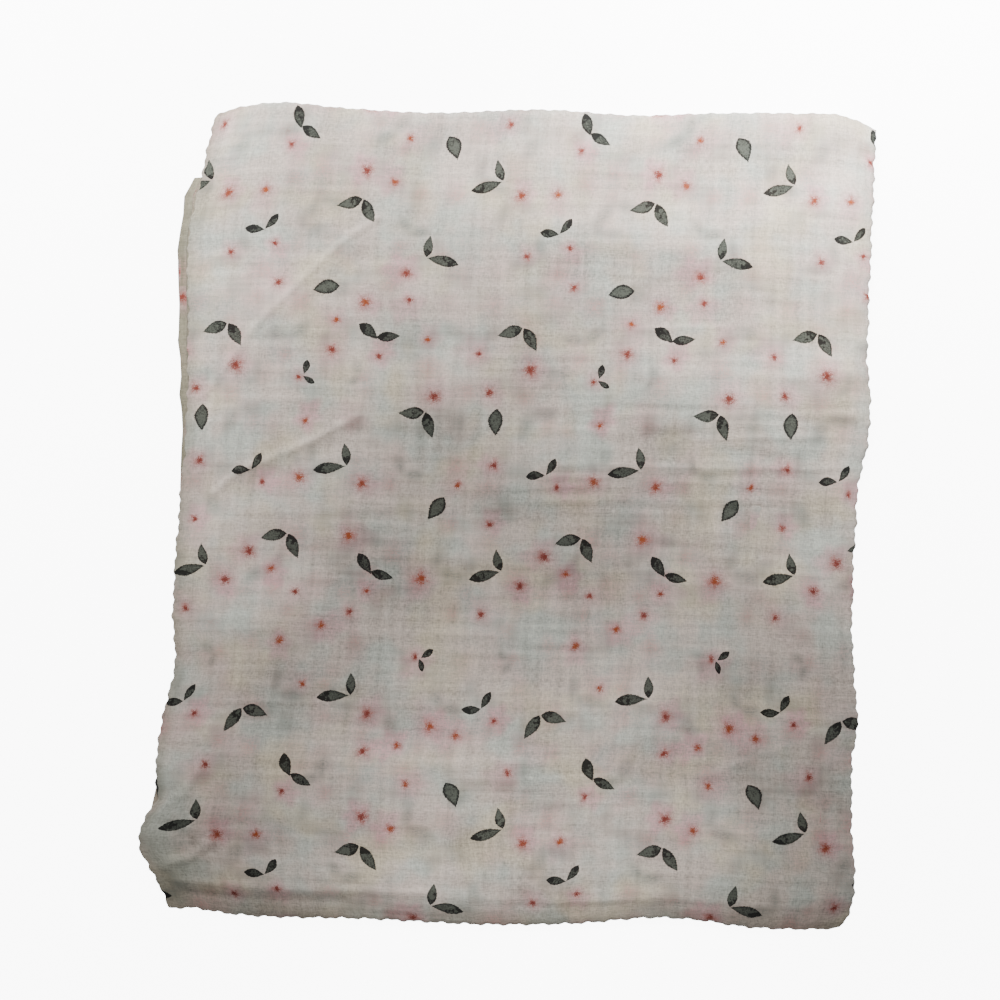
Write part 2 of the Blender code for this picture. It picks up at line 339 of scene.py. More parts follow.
def reliefOf(x, y):
    # height of creases and crinkle over the top panel
    field = np.zeros(x.shape)
    for line, height, width in creases:
        field += height * np.exp(-(distanceToLine(x, y, line) / width) ** 2)
    xs, ys = x.mean(axis=0), y.mean(axis=1)
    chance = np.random.RandomState(crinkle["seed"])
    ordered = ys if ys[0] < ys[-1] else ys[::-1]
    extra = np.zeros(x.shape)
    middleX, middleY, halfX, halfY = crinkle["crumpleAt"]
    for kind in ("ripple", "rib", "wave"):
        halfWidths, halfLengths = crinkle[kind + "Half"]
        for _ in range(crinkle[kind + "s"]):
            atX, atY = chance.uniform(*crinkle["across"]), chance.uniform(*crinkle["along"])
            width, length = chance.uniform(*halfWidths), chance.uniform(*halfLengths)
            height, lean = crinkle[kind + "Height"] * chance.choice([-1, 1]), 0.0
            if kind == "ripple":
                crumpled = math.exp(-((atX - middleX) / halfX) ** 2 - ((atY - middleY) / halfY) ** 2)
                height *= crinkle["calm"] + crinkle["crumple"] * crumpled
                lean = chance.uniform(*crinkle["rippleLean"])
            addHump(extra, xs, ordered, atX, atY, width, length, height, lean)
    return field + (extra if ys[0] < ys[-1] else extra[::-1])


def normalsOf(points):
    du = np.gradient(points, axis=1)
    dv = np.gradient(points, axis=0)
    normal = np.cross(du, dv)
    return normal / np.maximum(np.linalg.norm(normal, axis=-1, keepdims=True), 1e-12)


flatPoints, placeAcross, placeAlong, topAcross, topAlong = sheetGrid()
points = uneven(flatPoints)
middle = (points.reshape(-1, 3).min(axis=0) + points.reshape(-1, 3).max(axis=0)) / 2
topRows, topColumns = slice(*topAlong), slice(*topAcross)
top = points[topRows, topColumns]
outward = normalsOf(points)
outward *= np.sign(outward[topRows, topColumns, 2].mean())
edgeFade = np.ones(points.shape[:2])
for axis in (0, 1):
    place = flatPoints[..., axis]
    edgeFade *= softStep(0, crinkle["fade"], np.minimum(place - place.min(), place.max() - place))
edgeFade = edgeFade[topRows, topColumns]
relief = np.zeros(points.shape[:2])
relief[topRows, topColumns] = reliefOf(top[..., 0], top[..., 1])
relief[topRows, topColumns] *= (0.35 + 0.65 * edgeFade) * edgeFade ** 0.25
points = points + outward * relief[..., None]
points[..., 0] -= middle[0]
points[..., 1] -= middle[1]
# the crest height sets painted light on ridges and painted shade in troughs in the cloth's colour
crest = np.clip(relief / crinkle["fullCrest"], -1, 1)    # 1 on a ridge, -1 in a trough
print("cloth folded:", points.shape[0] * points.shape[1], "points")


# the print's repeat in metres, how far each row of repeats is set sideways, and where the first starts
repeat = {"width": 0.146, "height": 0.319, "drift": -0.0175, "start": 0.0055}
# each kind: its leaves as x, y, turn in degrees, length, width, darkness; and its flower, if it has one,
# as x, y, size
sprigKinds = {
    "arch": ([(-0.0064, -0.0008, 12, 0.0132, 0.0058, 0.10), (0.0036, -0.0056, 116, 0.0136, 0.0058, 0.30)],
             None),
    "ell": ([(-0.0074, -0.0032, 191, 0.0162, 0.0054, 0.32), (0.0000, 0.0042, 281, 0.0112, 0.0046, 0.12)],
            (0.0100, -0.0095, 0.0052)),
    "vee": ([(-0.0042, 0.0042, 128, 0.0122, 0.0056, 0.62), (0.0050, -0.0002, 172, 0.0118, 0.0048, 0.50)],
            (-0.0015, -0.0090, 0.0034)),
    "oval": ([(0.0, 0.0, 80, 0.0136, 0.0072, 0.06)], None),
    "small": ([(-0.0050, -0.0006, 183, 0.0098, 0.0042, 0.62), (0.0022, 0.0040, 62, 0.0096, 0.0038, 0.55)],
              (0.0062, -0.0062, 0.0034)),
    "tiny": ([(0.0034, 0.0034, 68, 0.0074, 0.0034, 0.50), (0.0040, -0.0030, -42, 0.0068, 0.0028, 0.55)],
             (-0.0008, -0.0010, 0.0034)),
}
# place of each sprig in the repeat: x, y, kind, turn in degrees, mirrored
sprigChart = [
    (0.018, 0.016, "ell", 4, False), (0.058, 0.030, "arch", 0, False), (0.101, 0.012, "vee", -6, False),
    (0.131, 0.045, "oval", -24, False), (0.038, 0.062, "small", 0, False), (0.084, 0.066, "ell", -3, False),
    (0.012, 0.088, "oval", 12, False), (0.122, 0.092, "arch", -8, False), (0.060, 0.109, "tiny", 10, False),
    (0.098, 0.128, "vee", 14, False), (0.023, 0.134, "arch", 6, False), (0.072, 0.152, "oval", -70, False),
    (0.121, 0.170, "ell", 0, True), (0.040, 0.181, "small", -8, False), (0.086, 0.196, "arch", 5, False),
    (0.008, 0.208, "ell", 6, False), (0.129, 0.223, "oval", 35, False), (0.052, 0.230, "vee", -20, False),
    (0.024, 0.262, "arch", -4, True), (0.141, 0.266, "small", 0, False), (0.076, 0.272, "ell", -6, False),
    (0.108, 0.291, "tiny", -30, False),
]
# loose flowers scattered in the gaps: sizes, how far apart they try to lie, and how orange they may be
flowerChart = {
    "seed": 23, "count": 35, "small": 0.0036, "large": 0.0064,
    "tries": 24, "room": 0.013, "kinds": [0.15, 0.4, 0.7, 1.0],
}


def turned(x, y, degrees):
    c, s = math.cos(math.radians(degrees)), math.sin(math.radians(degrees))
    return x * c - y * s, x * s + y * c


def repeatMotifs():
    # leaves in two sets, so that the two of a pair never share a face, and the flowers of one repeat
    # a leaf: x, y, angle, half length, half width, darkness, seed
    # a flower: x, y, angle, size, how orange, seed, how pink its petals
    leaves, flowers = ([], []), []
    chance = np.random.RandomState(flowerChart["seed"])
    for x, y, kind, turn, mirrored in sprigChart:
        side = -1 if mirrored else 1
        parts, flower = sprigKinds[kind]
        for index, (lx, ly, angle, length, width, dark) in enumerate(parts):
            dx, dy = turned(lx * side, ly, turn)
            angle = (180 - angle if mirrored else angle) + turn
            leaves[index].append((x + dx, y + dy, math.radians(angle), length / 2, width / 2, dark,
                                  chance.uniform(0.1, 0.9)))
        if flower:
            dx, dy = turned(flower[0] * side, flower[1], turn)
            flowers.append((x + dx, y + dy, chance.uniform(0, 6.28), flower[2], chance.uniform(0.2, 0.6),
                            chance.uniform(0.1, 0.9), chance.uniform(0.3, 1.0)))
    width, height = repeat["width"], repeat["height"]
    small, large = flowerChart["small"], flowerChart["large"]
    taken = [motif[:2] for group in (*leaves, flowers) for motif in group]
    for _ in range(flowerChart["count"]):
        best, far = None, -1.0
        for _ in range(flowerChart["tries"]):
            x, y = chance.uniform(0, width), chance.uniform(0, height)
            gaps = [math.hypot((x - a + width / 2) % width - width / 2,
                               (y - b + height / 2) % height - height / 2) for a, b in taken]
            nearest = min(min(gaps), flowerChart["room"])
            if nearest > far:
                best, far = (x, y), nearest
        taken.append(best)
        size = small + (large - small) * chance.uniform(0, 1) ** 2
        flowers.append((*best, chance.uniform(0, 6.28), size, chance.choice(flowerChart["kinds"]),
                        chance.uniform(0.1, 0.9), chance.uniform(0.1, 1.0)))
    return leaves, flowers


def overCloth(motifs, across, along):
    # the repeat's motifs, repeated over a stretch of cloth
    lowX, highX, lowY, highY = across.min(), across.max(), along.min(), along.max()
    width, height, margin = repeat["width"], repeat["height"], 0.02
    found = []
    for row in range(math.floor(lowY / height) - 1, math.ceil(highY / height) + 1):
        shift = row * repeat["drift"]
        for column in range(math.floor((lowX - shift) / width) - 1, math.ceil((highX - shift) / width) + 1):
            for motif in motifs:
                x = motif[0] + column * width + shift + repeat["start"]
                y = motif[1] + row * height
                if lowX - margin < x < highX + margin and lowY - margin < y < highY + margin:
                    found.append((x, y, *motif[2:]))
    return found


def window(values, low, high):
    # the stretch of an ordered list, rising or falling, that lies between two values
    if values[0] <= values[-1]:
        return slice(*np.searchsorted(values, [low, high]))
    i0, i1 = np.searchsorted(values[::-1], [low, high])
    return slice(len(values) - i1, len(values) - i0)


def around(across, along, x, y, reach):
    # the part of a field near a point, and the distances there from that point
    columns, rows = window(across, x - reach, x + reach), window(along, y - reach, y + reach)
    return (rows, columns), (across[columns] - x)[None, :], (along[rows] - y)[:, None]


def nearestMotif(motifs, across, along, reach=0.022):
    # for each face, the motif that covers it or lies nearest, and each corner's place in that motif
    midAcross, midAlong = (across[:-1] + across[1:]) / 2, (along[:-1] + along[1:]) / 2
    best = np.full((len(midAlong), len(midAcross)), 9.0)
    which = np.zeros(best.shape, int)
    for index, (x, y, angle, halfLength, halfWidth, *_) in enumerate(motifs):
        near, dx, dy = around(midAcross, midAlong, x, y, reach)
        u = (dx * math.cos(angle) + dy * math.sin(angle)) / halfLength
        v = (-dx * math.sin(angle) + dy * math.cos(angle)) / halfWidth
        size = np.hypot(u, v)
        nearer = size < best[near]
        best[near] = np.where(nearer, size, best[near])
        which[near] = np.where(nearer, index, which[near])
    table = np.array(motifs)[which]
    cornerPlaces = np.empty((*which.shape, 4, 4), np.float32)
    for corner, (right, up) in enumerate(((0, 0), (1, 0), (1, 1), (0, 1))):
        dx = across[right:len(across) - 1 + right][None, :] - table[..., 0]
        dy = along[up:len(along) - 1 + up][:, None] - table[..., 1]
        c, s = np.cos(table[..., 2]), np.sin(table[..., 2])
        cornerPlaces[..., corner, 0] = np.clip((dx * c + dy * s) / table[..., 3], -6, 6)
        cornerPlaces[..., corner, 1] = np.clip((-dx * s + dy * c) / table[..., 4], -6, 6)
        cornerPlaces[..., corner, 2] = table[..., 5]
        cornerPlaces[..., corner, 3] = table[..., 6]
    return cornerPlaces


def leafField(leaves, across, along, blur):
    # how much green shows through from leaves on a layer beneath
    field = np.zeros((len(along), len(across)))
    for x, y, angle, halfLength, halfWidth, dark, _ in leaves:
        near, dx, dy = around(across, along, x, y, halfLength + 4 * blur)
        u = (dx * math.cos(angle) + dy * math.sin(angle)) / (halfLength + blur)
        v = (-dx * math.sin(angle) + dy * math.cos(angle)) / (halfWidth + blur)
        inside = softStep(0, 1, 1.25 - np.hypot(u, v)) * (0.7 + 0.3 * dark)
        field[near] = np.maximum(field[near], inside)
    return field


# radius of the smallest petals, how much the largest add, and the offset and softness as shares of it
petalShape = {"small": 0.0062, "spread": 0.0052, "offset": 0.35, "softness": 0.55}


def petalField(flowers, across, along, blur):
    # the faint pink petals round each flower
    field = np.zeros((len(along), len(across)))
    for x, y, angle, _, _, seed, pink in flowers:
        radius = petalShape["small"] + petalShape["spread"] * seed + blur
        near, dx, dy = around(across, along, x, y, 1.6 * radius)
        dx = dx - petalShape["offset"] * radius * math.cos(angle)
        dy = dy - petalShape["offset"] * radius * math.sin(angle)
        way = np.arctan2(dy, dx)
        edge = 1 + 0.16 * np.cos(5 * way + angle) + 0.13 * np.cos(2 * way + 7 * seed)
        inside = softStep(0, petalShape["softness"] + 60 * blur, edge - np.hypot(dx, dy) / radius) * pink
        field[near] = field[near] + inside * (1 - field[near])
    return field


def dotField(flowers, across, along, blur):
    # flower centres showing through
    field = np.zeros((len(along), len(across)))
    for x, y, _, size, *_ in flowers:
        near, dx, dy = around(across, along, x, y, size + 3 * blur)
        inside = np.exp(-(np.hypot(dx, dy) / (size * 0.7 + blur)) ** 2)
        field[near] = np.maximum(field[near], inside)
    return field


# the three layers that show through the top one: how strongly, how blurred, and how far each is slipped
showThrough = {
    "left": (0.80, 0.0011), "right": (0.50, 0.0013), "lower": (0.32, 0.0020), "petals": 0.5,
    "slips": (-0.0015, 0.0025, 0.006),
}
# painted shade along the folds and in the lower left corner: strength on the layers above and on the lowest
# flap, and how far in it reaches there
shading = {
    "left": (0.50, 1.0), "leftReach": (0.009, 0.027), "lower": 0.40, "lowerReach": 0.018,
    "corner": 0.75, "cornerReach": (0.026, 0.044),
}


def foldShades():
    # painted shade: the cloth's colour dulled and yellowed beside its left and lower folds and in the lower
    # left corner, where less light falls
    fromLeft = flatPoints[..., 0] - flatPoints[..., 0].min()
    fromLower = flatPoints[..., 1] - flatPoints[..., 1].min()
    flapPart = 1 - softStep(bundle, 1.3 * bundle, flatPoints[..., 2])
    strength = shading["left"][0] + (shading["left"][1] - shading["left"][0]) * flapPart
    reach = shading["leftReach"][0] + (shading["leftReach"][1] - shading["leftReach"][0]) * flapPart
    leftShade = strength * (1 - softStep(0, reach, fromLeft))
    lowerShade = shading["lower"] * (1 - softStep(0, shading["lowerReach"], fromLower))
    reachX, reachY = shading["cornerReach"]
    cornerShade = shading["corner"] * np.exp(-(fromLeft / reachX) ** 2 - (fromLower / reachY) ** 2)
    return np.maximum(np.maximum(leftShade, lowerShade), cornerShade)


def printedClothAndShade(across, along):
    (firstLeaves, secondLeaves), flowers = repeatMotifs()
    print("print charted:", len(firstLeaves + secondLeaves), "leaves,", len(flowers), "flowers a repeat")
    # each layer beneath the top panel is the cloth turned over at a fold
    slipLeft, slipRight, slipLower = showThrough["slips"]
    foldLeft = (across[topAcross[0] - 1] + across[topAcross[0]]) / 2 + slipLeft
    foldRight = (across[topAcross[1] - 1] + across[topAcross[1]]) / 2 + slipRight
    foldLower = along[topAlong[0]] + slipLower
    beneath = [
        (2 * foldLeft - across, along, *showThrough["left"]),
        (2 * foldRight - across, along, *showThrough["right"]),
        (across, 2 * foldLower - along, *showThrough["lower"]),
    ]
    green, red, petals = np.zeros((3, len(along), len(across)))
    for layerAcross, layerAlong, strength, blur in beneath:
        leaves = overCloth(firstLeaves + secondLeaves, layerAcross, layerAlong)
        blooms = overCloth(flowers, layerAcross, layerAlong)
        green = np.maximum(green, strength * leafField(leaves, layerAcross, layerAlong, blur))
        red = np.maximum(red, strength * dotField(blooms, layerAcross, layerAlong, blur))
        faint = showThrough["petals"] * strength
        petals = petals + faint * petalField(blooms, layerAcross, layerAlong, blur)
    blooms = overCloth(flowers, across, along)
    petals = petals + petalField(blooms, across, along, 0.0)
    roundBlooms = [(x, y, angle, size, size, kind, seed) for x, y, angle, size, kind, seed, _ in blooms]
    crisp = {
        "leafA": nearestMotif(overCloth(firstLeaves, across, along), across, along),
        "leafB": nearestMotif(overCloth(secondLeaves, across, along), across, along),
        "bloom": nearestMotif(roundBlooms, across, along),
    }
    # the fourth channel is painted shade along the left and lower folds and in the lower left corner
    return crisp, np.stack([green, red, petals, foldShades()], axis=-1)


crispPrint, softPrintAndShade = printedClothAndShade(placeAcross, placeAlong)


def makeSheet():
    rows, columns = points.shape[:2]
    index = np.arange(rows * columns).reshape(rows, columns)
    faces = np.stack([index[:-1, :-1], index[:-1, 1:], index[1:, 1:], index[1:, :-1]], axis=-1)
    faces = faces.reshape(-1, 4)
    # the top panel faces up whichever way its rows and columns run
    across, along = top[0, 1] - top[0, 0], top[1, 0] - top[0, 0]
    cornerOrder = np.array([0, 1, 2, 3] if np.cross(across, along)[2] > 0 else [3, 2, 1, 0])
    mesh = bpy.data.meshes.new("blanketCloth")
    mesh.vertices.add(rows * columns)
    mesh.vertices.foreach_set("co", points.reshape(-1).astype(np.float32))
    mesh.loops.add(len(faces) * 4)
    mesh.loops.foreach_set("vertex_index", faces[:, cornerOrder].reshape(-1).astype(np.int32))
    mesh.polygons.add(len(faces))
    mesh.polygons.foreach_set("loop_start", np.arange(0, len(faces) * 4, 4, dtype=np.int32))
    mesh.update(calc_edges=True)
    mesh.shade_smooth()
    clothPlace = np.stack(np.meshgrid(placeAcross, placeAlong), axis=-1).reshape(-1, 2)
    uv = mesh.uv_layers.new(name="clothPlace")
    uv.data.foreach_set("uv", clothPlace[faces[:, cornerOrder]].reshape(-1).astype(np.float32))
    for name, values in crispPrint.items():
        layer = mesh.attributes.new(name, "FLOAT_COLOR", "CORNER")
        layer.data.foreach_set("color", values.reshape(-1, 4, 4)[:, cornerOrder].reshape(-1))
    # print showing through from the layers beneath, with the painted shade along the folds in the alpha
    under = mesh.attributes.new("under", "FLOAT_COLOR", "POINT")
    under.data.foreach_set("color", softPrintAndShade.reshape(-1).astype(np.float32))
    raised = mesh.attributes.new("crest", "FLOAT", "POINT")
    raised.data.foreach_set("value", crest.reshape(-1).astype(np.float32))
    mesh.validate()
    sheet = bpy.data.objects.new("blanketCloth", mesh)
    bpy.context.scene.collection.objects.link(sheet)
    return sheet


sheet = makeSheet()
print("sheet made:", len(sheet.data.polygons), "faces")


muslin = {
    "ground": (0.745, 0.638, 0.556),
    "warm": (0.755, 0.655, 0.495),        # patches of the ground
    "cool": (0.640, 0.660, 0.585),
    # painted shade colour, beside the left and lower folds and in the lower left corner
    "shade": (0.325, 0.300, 0.215),       # beside the left and lower folds
    "leafLight": (0.112, 0.124, 0.102),
    "leafDark": (0.007, 0.008, 0.008),
    "coreOrange": (0.40, 0.088, 0.024),   # flower centres run from brick to orange
    "coreBrick": (0.26, 0.052, 0.038),
    "ray": (0.50, 0.190, 0.165),          # speckled ring round a centre
    "petal": (0.74, 0.470, 0.470),
    "underGreen": (0.180, 0.200, 0.176),  # leaves and centres of the layers beneath
    "underRed": (0.55, 0.26, 0.23),
    "leafStrength": 0.97,
    "coreStrength": 0.95,
    "rayStrength": 0.88,
    "petalStrength": 0.85,
    "underGreenStrength": 0.72,
    "underRedStrength": 0.50,
    # painted light on ridges and painted shade in troughs of the relief
    "crestLightAndShade": 0.10,                    # how much lighter a ridge is, and how much darker a trough
    "bump": 0.6,
    "bumpHeight": 0.00025,
    "roughness": 0.92,
    "shine": 0.2,
    "sheen": 0.08,
}


def addNode(tree, kind, values=None, links=None, **settings):
    node = tree.nodes.new(kind)
    for name, value in settings.items():
        setattr(node, name, value)
    for socket, value in (values or {}).items():
        node.inputs[socket].default_value = value
    for socket, source in (links or {}).items():
        tree.links.new(source, node.inputs[socket])
    return node


def sums(tree, operation, *terms, clamp=False):
    # a Math node whose inputs are numbers or sockets
    node = tree.nodes.new("ShaderNodeMath")
    node.operation = operation
    node.use_clamp = clamp
    for socket, term in zip(node.inputs, terms):
        if isinstance(term, (int, float)):
            socket.default_value = term
        else:
            tree.links.new(term, socket)
    return node.outputs[0]


def ramp(tree, value, low, high, toLow=0.0, toHigh=1.0):
    ends = {"From Min": low, "From Max": high, "To Min": toLow, "To Max": toHigh}
    node = addNode(tree, "ShaderNodeMapRange", ends, {"Value": value}, interpolation_type="SMOOTHSTEP")
    return node.outputs["Result"]


def mixColour(tree, factor, first, second, blend="MIX"):
    node = tree.nodes.new("ShaderNodeMix")
    node.data_type = "RGBA"
    node.blend_type = blend
    for socket, value in ((node.inputs[0], factor), (node.inputs[6], first), (node.inputs[7], second)):
        if isinstance(value, (int, float)):
            socket.default_value = value
        elif isinstance(value, tuple):
            socket.default_value = (*value, 1.0)
        else:
            tree.links.new(value, socket)
    return node.outputs[2]


def newGroup(name, inputs, outputs):
    group = bpy.data.node_groups.new(name, "ShaderNodeTree")
    for socketName, kind in inputs:
        group.interface.new_socket(name=socketName, in_out="INPUT", socket_type=kind)
    for socketName, kind in outputs:
        group.interface.new_socket(name=socketName, in_out="OUTPUT", socket_type=kind)
    return group, group.nodes.new("NodeGroupInput"), group.nodes.new("NodeGroupOutput")


def noise(tree, place, scale, detail=2.0, stretch=(1.0, 1.0, 1.0)):
    spread = addNode(tree, "ShaderNodeMapping", {"Scale": stretch}, {"Vector": place})
    node = addNode(tree, "ShaderNodeTexNoise", {"Scale": scale, "Detail": detail, "Roughness": 0.55},
                   {"Vector": spread.outputs[0]})
    return node.outputs["Fac"]


def leafInkGroup():
    # the shape of a printed leaf and how dark its ink is, with a darker rim and end
    group, given, result = newGroup(
        "leafInk",
        [("Place", "NodeSocketVector"), ("Seed", "NodeSocketFloat"), ("Cloth", "NodeSocketVector")],
        [("Mask", "NodeSocketFloat"), ("Dark", "NodeSocketFloat")])
    parts = addNode(group, "ShaderNodeSeparateXYZ", links={"Vector": given.outputs["Place"]})
    u, v, tone = parts.outputs
    side = sums(group, "SUBTRACT", given.outputs["Seed"], 0.5)
    room = sums(group, "SUBTRACT", 1.0, sums(group, "MULTIPLY", u, u))
    room = sums(group, "MAXIMUM", room, -1.0)
    lean = sums(group, "MULTIPLY", side, room)
    across = sums(group, "ABSOLUTE", sums(group, "MULTIPLY_ADD", lean, 0.60, v))
    fuller = sums(group, "MULTIPLY_ADD", sums(group, "MULTIPLY", u, side), 0.5, 1.04)
    fuller = sums(group, "MULTIPLY_ADD", u, 0.34, fuller)
    fuller = sums(group, "MAXIMUM", fuller, 0.4)
    edge = sums(group, "MULTIPLY", room, fuller)
    rough = sums(group, "SUBTRACT", noise(group, given.outputs["Cloth"], 1500.0, 1.0), 0.5)
    inside = sums(group, "MULTIPLY_ADD", rough, 0.36, sums(group, "SUBTRACT", edge, across))
    mask = ramp(group, inside, -0.02, 0.10)
    blotch = noise(group, given.outputs["Cloth"], 420.0, 2.0)
    speck = noise(group, given.outputs["Cloth"], 1350.0, 1.0)
    rim = sums(group, "MULTIPLY", ramp(group, inside, 0.08, 0.56, 1.0, 0.0),
               ramp(group, tone, 0.05, 0.12, 1.10, 0.45))
    end = sums(group, "MULTIPLY_ADD", blotch, 2.4, sums(group, "MULTIPLY", u, 0.8))
    end = ramp(group, end, 1.35, 1.60)
    dark = sums(group, "ADD", rim, tone)
    dark = sums(group, "MULTIPLY_ADD", end, ramp(group, tone, 0.05, 0.12, 0.20, 0.80), dark)
    dark = sums(group, "MULTIPLY_ADD", sums(group, "SUBTRACT", blotch, 0.5), 0.8, dark)
    dark = sums(group, "MULTIPLY_ADD", sums(group, "SUBTRACT", speck, 0.5), 2.2, dark, clamp=True)
    group.links.new(mask, result.inputs["Mask"])
    group.links.new(dark, result.inputs["Dark"])
    return group


def flowerInkGroup():
    # a flower's centre, the speckled ring round it and a faint halo
    group, given, result = newGroup(
        "flowerInk",
        [("Place", "NodeSocketVector"), ("Seed", "NodeSocketFloat"), ("Cloth", "NodeSocketVector")],
        [("Core", "NodeSocketFloat"), ("Ray", "NodeSocketFloat"), ("Orange", "NodeSocketFloat"),
         ("Halo", "NodeSocketFloat")])
    parts = addNode(group, "ShaderNodeSeparateXYZ", links={"Vector": given.outputs["Place"]})
    x, y, kind = parts.outputs
    far = sums(group, "SQRT", sums(group, "MULTIPLY_ADD", x, x, sums(group, "MULTIPLY", y, y)))
    safe = sums(group, "MAXIMUM", far, 0.02)
    way = addNode(group, "ShaderNodeCombineXYZ", links={
        "X": sums(group, "DIVIDE", x, safe), "Y": sums(group, "DIVIDE", y, safe),
        "Z": sums(group, "MULTIPLY", given.outputs["Seed"], 60.0)})
    spokes = noise(group, way.outputs[0], 1.4, 0.0)
    blot = sums(group, "SUBTRACT", noise(group, given.outputs["Cloth"], 640.0, 1.5), 0.5)
    grain = sums(group, "SUBTRACT", noise(group, given.outputs["Cloth"], 2100.0, 1.0), 0.5)
    reach = ramp(group, spokes, 0.36, 0.74, 0.72, 1.12)
    inside = sums(group, "MULTIPLY_ADD", blot, 1.10, sums(group, "SUBTRACT", reach, far))
    inside = sums(group, "MULTIPLY_ADD", grain, 2.20, inside)
    paler = ramp(group, far, 0.30, 1.20, 1.0, 0.30)
    ray = sums(group, "MULTIPLY", ramp(group, inside, -0.15, 0.80), paler)
    dot = sums(group, "MULTIPLY_ADD", blot, 0.55, sums(group, "SUBTRACT", 0.36, far))
    dot = sums(group, "MULTIPLY_ADD", grain, 0.70, dot)
    core = ramp(group, dot, -0.12, 0.26)
    group.links.new(core, result.inputs["Core"])
    group.links.new(ray, result.inputs["Ray"])
    group.links.new(ramp(group, kind, 0.30, 0.90), result.inputs["Orange"])
    group.links.new(ramp(group, far, 0.4, 2.1, 0.42, 0.0), result.inputs["Halo"])
    return group


def gauzeGroup():
    # crossing threads of uneven thickness, in the cloth's own places
    group, given, result = newGroup(
        "gauze", [("Cloth", "NodeSocketVector")],
        [("Tone", "NodeSocketFloat"), ("Height", "NodeSocketFloat"), ("Specks", "NodeSocketFloat")])
    place = given.outputs["Cloth"]
    weft = noise(group, place, 1.0, 2.0, (420.0, 1300.0, 1.0))
    warp = noise(group, place, 1.0, 2.0, (1300.0, 420.0, 1.0))
    slub = noise(group, place, 1.0, 3.0, (22.0, 340.0, 1.0))
    rib = noise(group, place, 1.0, 2.0, (300.0, 26.0, 1.0))
    broad = noise(group, place, 26.0, 2.0)
    threads = sums(group, "ADD", weft, warp)
    tone = sums(group, "MULTIPLY_ADD", sums(group, "SUBTRACT", threads, 1.0), 0.75, 1.0)
    tone = sums(group, "MULTIPLY_ADD", sums(group, "SUBTRACT", slub, 0.5), 0.58, tone)
    tone = sums(group, "MULTIPLY_ADD", sums(group, "SUBTRACT", rib, 0.5), 0.52, tone)
    tone = sums(group, "MULTIPLY_ADD", sums(group, "SUBTRACT", broad, 0.5), 0.55, tone)
    height = sums(group, "MULTIPLY_ADD", slub, 1.6, threads)
    height = sums(group, "MULTIPLY_ADD", rib, 0.7, height)
    group.links.new(tone, result.inputs["Tone"])
    group.links.new(height, result.inputs["Height"])
    specks = ramp(group, sums(group, "MULTIPLY_ADD", weft, 1.4, warp), 1.00, 1.42, 0.35, 1.40)
    group.links.new(specks, result.inputs["Specks"])
    return group


def placeGroup(tree, group, links):
    node = tree.nodes.new("ShaderNodeGroup")
    node.node_tree = group
    for socket, source in links.items():
        tree.links.new(source, node.inputs[socket])
    return node.outputs


def attribute(tree, name):
    return addNode(tree, "ShaderNodeAttribute", attribute_name=name, attribute_type="GEOMETRY").outputs


